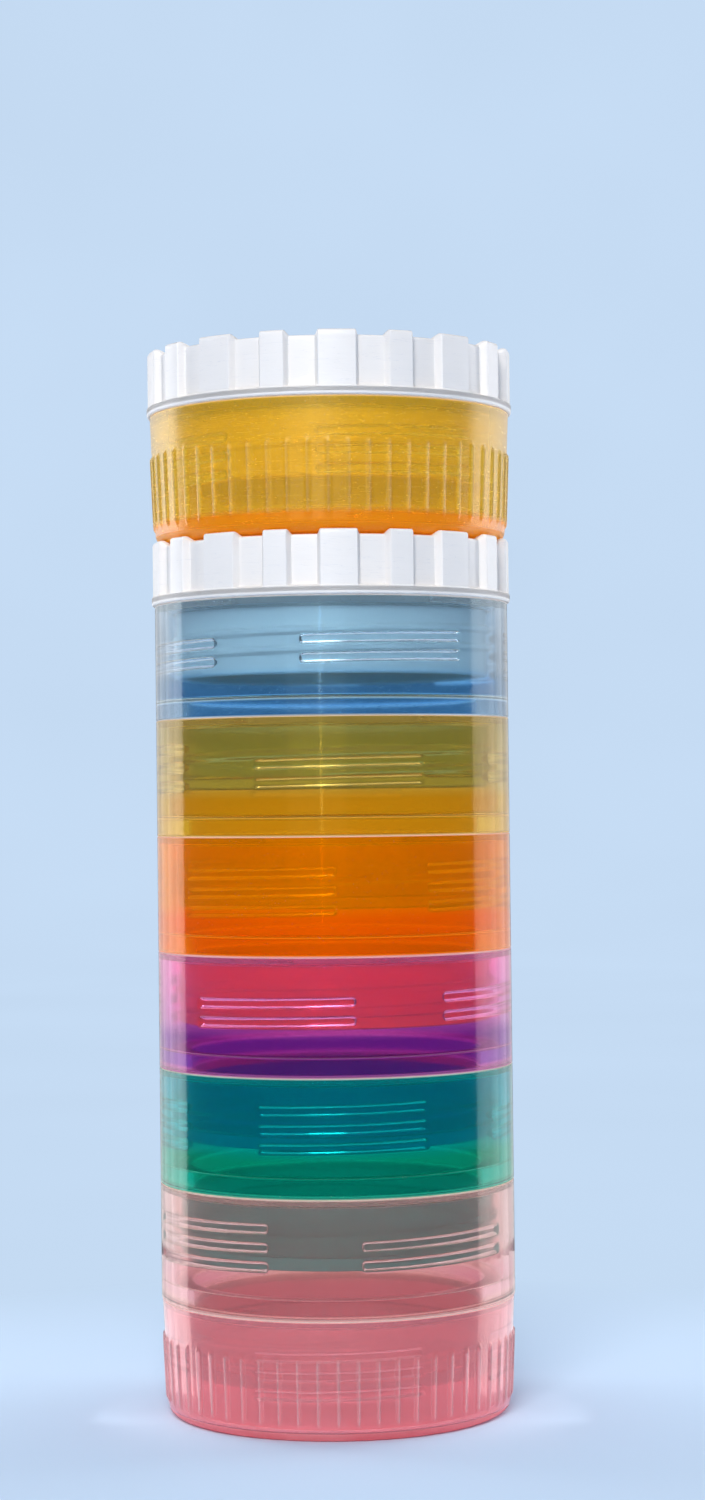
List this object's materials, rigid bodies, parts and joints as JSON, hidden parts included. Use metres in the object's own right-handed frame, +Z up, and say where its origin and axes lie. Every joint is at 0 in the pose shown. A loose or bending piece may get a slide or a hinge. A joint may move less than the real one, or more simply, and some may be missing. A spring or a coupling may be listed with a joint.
{
  "type": "stackable pill organizer",
  "caption": "Tower of clear coloured pill cups that screw into each other, closed by a crowned cap, with a ribbed pocket jar standing on top.",
  "frame": {"origin": "centre of the base jar's foot, on the face that rests on the table", "axes": "+Z up the tower's axis; the pieces are turned, so +X and -Y only fix where the thread bars and crown ribs start"},
  "size_m": [0.0436, 0.0436, 0.1255],
  "materials": {
    "rose_plastic": "clear tinted, polished mould",
    "green_plastic": "clear tinted, polished mould",
    "purple_plastic": "clear tinted, polished mould",
    "orange_plastic": "clear tinted, polished mould",
    "yellow_plastic": "clear tinted, polished mould",
    "blue_plastic": "clear tinted, polished mould",
    "amber_plastic": "clear tinted, polished mould",
    "white_plastic": "opaque, satin",
    "clear_rubber": "soft clear",
    "nickel": "nickel plated",
    "steel": "plain sheet"
  },
  "bodies": {
    "base_jar": {"base_jar": "rose_plastic"},
    "rose_seal": {"rose_seal": "clear_rubber"},
    "rose_cup": {"rose_cup": "rose_plastic"},
    "green_seal": {"green_seal": "clear_rubber"},
    "green_cup": {"green_cup": "green_plastic"},
    "purple_seal": {"purple_seal": "clear_rubber"},
    "purple_cup": {"purple_cup": "purple_plastic"},
    "orange_seal": {"orange_seal": "clear_rubber"},
    "orange_cup": {"orange_cup": "orange_plastic"},
    "yellow_seal": {"yellow_seal": "clear_rubber"},
    "yellow_cup": {"yellow_cup": "yellow_plastic"},
    "blue_seal": {"blue_seal": "clear_rubber"},
    "blue_cup": {"blue_cup": "blue_plastic"},
    "stack_cap_seal": {"stack_cap_seal": "clear_rubber"},
    "stack_cap": {"stack_cap": "white_plastic", "stack_cap_magnet": "nickel", "stack_cap_magnet_cover": "white_plastic"},
    "pocket_jar_keeper": {"pocket_jar_keeper": "steel"},
    "pocket_jar": {"pocket_jar": "amber_plastic"},
    "pocket_cap_seal": {"pocket_cap_seal": "clear_rubber"},
    "pocket_cap": {"pocket_cap": "white_plastic", "pocket_cap_magnet": "nickel", "pocket_cap_magnet_cover": "white_plastic"}
  },
  "joints": [
    {"name": "rose_cup_rise", "type": "slide", "parent": "base_jar", "child": "rose_seal", "axis": [0, 0, 1], "range_m": [0, 0.01076]},
    {"name": "rose_cup_screw", "type": "hinge", "parent": "rose_seal", "child": "rose_cup", "pos_m": [0, 0, 0.01365], "axis": [0, 0, 1], "range_deg": [0, 1800]},
    {"name": "green_cup_rise", "type": "slide", "parent": "rose_cup", "child": "green_seal", "axis": [0, 0, 1], "range_m": [0, 0.01076]},
    {"name": "green_cup_screw", "type": "hinge", "parent": "green_seal", "child": "green_cup", "pos_m": [0, 0, 0.0273], "axis": [0, 0, 1], "range_deg": [0, 1800]},
    {"name": "purple_cup_rise", "type": "slide", "parent": "green_cup", "child": "purple_seal", "axis": [0, 0, 1], "range_m": [0, 0.01076]},
    {"name": "purple_cup_screw", "type": "hinge", "parent": "purple_seal", "child": "purple_cup", "pos_m": [0, 0, 0.04095], "axis": [0, 0, 1], "range_deg": [0, 1800]},
    {"name": "orange_cup_rise", "type": "slide", "parent": "purple_cup", "child": "orange_seal", "axis": [0, 0, 1], "range_m": [0, 0.01076]},
    {"name": "orange_cup_screw", "type": "hinge", "parent": "orange_seal", "child": "orange_cup", "pos_m": [0, 0, 0.0546], "axis": [0, 0, 1], "range_deg": [0, 1800]},
    {"name": "yellow_cup_rise", "type": "slide", "parent": "orange_cup", "child": "yellow_seal", "axis": [0, 0, 1], "range_m": [0, 0.01076]},
    {"name": "yellow_cup_screw", "type": "hinge", "parent": "yellow_seal", "child": "yellow_cup", "pos_m": [0, 0, 0.06825], "axis": [0, 0, 1], "range_deg": [0, 1800]},
    {"name": "blue_cup_rise", "type": "slide", "parent": "yellow_cup", "child": "blue_seal", "axis": [0, 0, 1], "range_m": [0, 0.01076]},
    {"name": "blue_cup_screw", "type": "hinge", "parent": "blue_seal", "child": "blue_cup", "pos_m": [0, 0, 0.0819], "axis": [0, 0, 1], "range_deg": [0, 1800]},
    {"name": "stack_cap_rise", "type": "slide", "parent": "blue_cup", "child": "stack_cap_seal", "axis": [0, 0, 1], "range_m": [0, 0.01076]},
    {"name": "stack_cap_screw", "type": "hinge", "parent": "stack_cap_seal", "child": "stack_cap", "pos_m": [0, 0, 0.09555], "axis": [0, 0, 1], "range_deg": [0, 1800]},
    {"name": "pocket_jar_lift", "type": "slide", "parent": "stack_cap", "child": "pocket_jar_keeper", "axis": [0, 0, 1], "range_m": [0, 0.03]},
    {"name": "pocket_jar_turn", "type": "hinge", "parent": "pocket_jar_keeper", "child": "pocket_jar", "pos_m": [0, 0, 0.10275], "axis": [0, 0, 1], "continuous": true},
    {"name": "pocket_cap_rise", "type": "slide", "parent": "pocket_jar", "child": "pocket_cap_seal", "axis": [0, 0, 1], "range_m": [0, 0.01076]},
    {"name": "pocket_cap_screw", "type": "hinge", "parent": "pocket_cap_seal", "child": "pocket_cap", "pos_m": [0, 0, 0.11805], "axis": [0, 0, 1], "range_deg": [0, 1800]}
  ],
  "couplings": [
    {"joint": "rose_cup_rise", "follows": "rose_cup_screw", "m_per_rad": 0.00034218},
    {"joint": "green_cup_rise", "follows": "green_cup_screw", "m_per_rad": 0.00034218},
    {"joint": "purple_cup_rise", "follows": "purple_cup_screw", "m_per_rad": 0.00034218},
    {"joint": "orange_cup_rise", "follows": "orange_cup_screw", "m_per_rad": 0.00034218},
    {"joint": "yellow_cup_rise", "follows": "yellow_cup_screw", "m_per_rad": 0.00034218},
    {"joint": "blue_cup_rise", "follows": "blue_cup_screw", "m_per_rad": 0.00034218},
    {"joint": "stack_cap_rise", "follows": "stack_cap_screw", "m_per_rad": 0.00034218},
    {"joint": "pocket_cap_rise", "follows": "pocket_cap_screw", "m_per_rad": 0.00034218}
  ]
}
